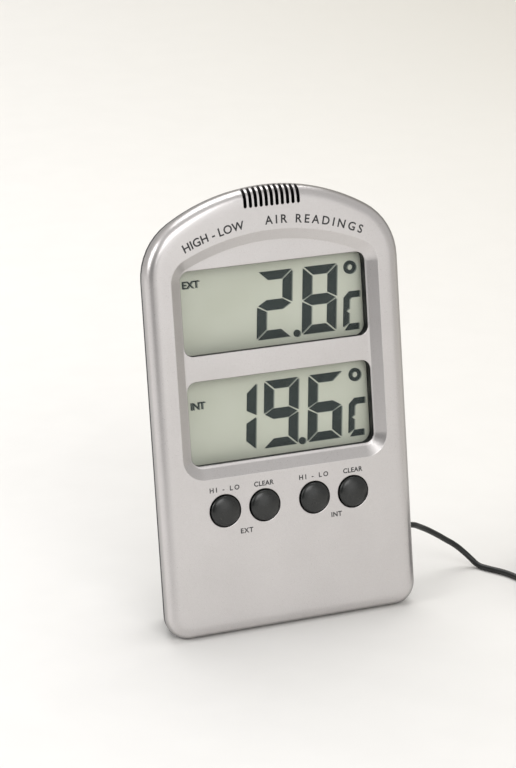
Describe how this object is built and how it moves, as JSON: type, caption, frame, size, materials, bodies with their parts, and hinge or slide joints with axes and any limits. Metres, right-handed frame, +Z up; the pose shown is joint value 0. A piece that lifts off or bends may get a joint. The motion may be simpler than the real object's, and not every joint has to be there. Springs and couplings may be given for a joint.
{
  "type": "maximum minimum thermometer",
  "caption": "Leaning digital maximum and minimum thermometer with two stacked displays, push buttons, fold-out stand and a remote temperature probe on a thin lead.",
  "frame": {"origin": "middle of the unit's footprint on the surface it stands on, without its lead", "axes": "+Z up, the displays face -Y and lean back, +X to the right as seen from the front"},
  "size_m": [0.1374, 0.0728, 0.1131],
  "materials": {
    "silver_shell": "fine silver-grey paint on plastic, satin",
    "black_shell": "black moulded plastic, fine texture",
    "clear_lens": "clear acrylic sheet",
    "lcd_glass": "LCD glass, grey-green",
    "lcd_reflector": "grey-green reflective film",
    "inner_plastic": "black inner plastic",
    "zebra_rubber": "striped silicone",
    "board_laminate": "green solder mask",
    "epoxy_resin": "black potting resin",
    "bright_steel": "tinned steel can",
    "knob_plastic": "white plastic",
    "cell_jacket": "plain printed jacket",
    "spring_steel": "nickel-plated spring steel",
    "grommet_rubber": "black rubber",
    "cable_jacket": "black PVC, satin",
    "tie_plastic": "white nylon strap",
    "probe_steel": "drawn stainless steel",
    "button_plastic": "satin black moulded plastic",
    "plunger_plastic": "beige plastic",
    "screw_steel": "zinc-plated steel"
  },
  "bodies": {
    "case": {"front_shell": "silver_shell", "rear_shell": "black_shell", "display_lens": "clear_lens", "lcd_front_glass": "lcd_glass", "lcd_rear_glass": "lcd_glass", "lcd_reflector": "lcd_reflector", "lcd_holder": "inner_plastic", "zebra_strip_lower": "zebra_rubber", "zebra_strip_upper": "zebra_rubber", "circuit_board": "board_laminate", "controller_blob": "epoxy_resin", "crystal_can": "bright_steel", "indoor_thermistor": "epoxy_resin", "unit_switch_body": "inner_plastic", "battery_cell": "cell_jacket", "battery_spring": "spring_steel", "battery_plate": "spring_steel", "cable_grommet": "grommet_rubber", "probe_cable": "cable_jacket", "cable_coil": "cable_jacket", "coil_tie": "tie_plastic", "probe_sleeve": "grommet_rubber", "probe_tip": "probe_steel", "switch_body_1": "inner_plastic", "switch_body_2": "inner_plastic", "switch_body_3": "inner_plastic", "switch_body_4": "inner_plastic", "case_screw_1": "screw_steel", "case_screw_2": "screw_steel", "case_screw_3": "screw_steel", "case_screw_4": "screw_steel", "board_screw_1": "screw_steel", "board_screw_2": "screw_steel", "board_screw_3": "screw_steel"},
    "button_1": {"button_1": "button_plastic", "button_plunger_1": "plunger_plastic"},
    "button_2": {"button_2": "button_plastic", "button_plunger_2": "plunger_plastic"},
    "button_3": {"button_3": "button_plastic", "button_plunger_3": "plunger_plastic"},
    "button_4": {"button_4": "button_plastic", "button_plunger_4": "plunger_plastic"},
    "battery_cover": {"battery_cover": "black_shell"},
    "stand": {"stand": "black_shell"},
    "unit_switch": {"unit_switch_knob": "knob_plastic"}
  },
  "joints": [
    {"name": "button_1_press", "type": "slide", "parent": "case", "child": "button_1", "axis": [0, 0.9871, -0.1599], "range_m": [0, 0.0008], "stiffness_N_per_m": 300, "springref_m": -0.004},
    {"name": "button_2_press", "type": "slide", "parent": "case", "child": "button_2", "axis": [0, 0.9871, -0.1599], "range_m": [0, 0.0008], "stiffness_N_per_m": 300, "springref_m": -0.004},
    {"name": "button_3_press", "type": "slide", "parent": "case", "child": "button_3", "axis": [0, 0.9871, -0.1599], "range_m": [0, 0.0008], "stiffness_N_per_m": 300, "springref_m": -0.004},
    {"name": "button_4_press", "type": "slide", "parent": "case", "child": "button_4", "axis": [0, 0.9871, -0.1599], "range_m": [0, 0.0008], "stiffness_N_per_m": 300, "springref_m": -0.004},
    {"name": "stand_fold", "type": "hinge", "parent": "case", "child": "stand", "pos_m": [0, -0.00328, 0.02503], "axis": [1, 0, 0], "range_deg": [0, 124.5]},
    {"name": "battery_cover_slide", "type": "slide", "parent": "case", "child": "battery_cover", "axis": [-1, 0, 0], "range_m": [0, 0.03]},
    {"name": "unit_switch_slide", "type": "slide", "parent": "case", "child": "unit_switch", "axis": [1, 0, 0], "range_m": [0, 0.002]}
  ]
}
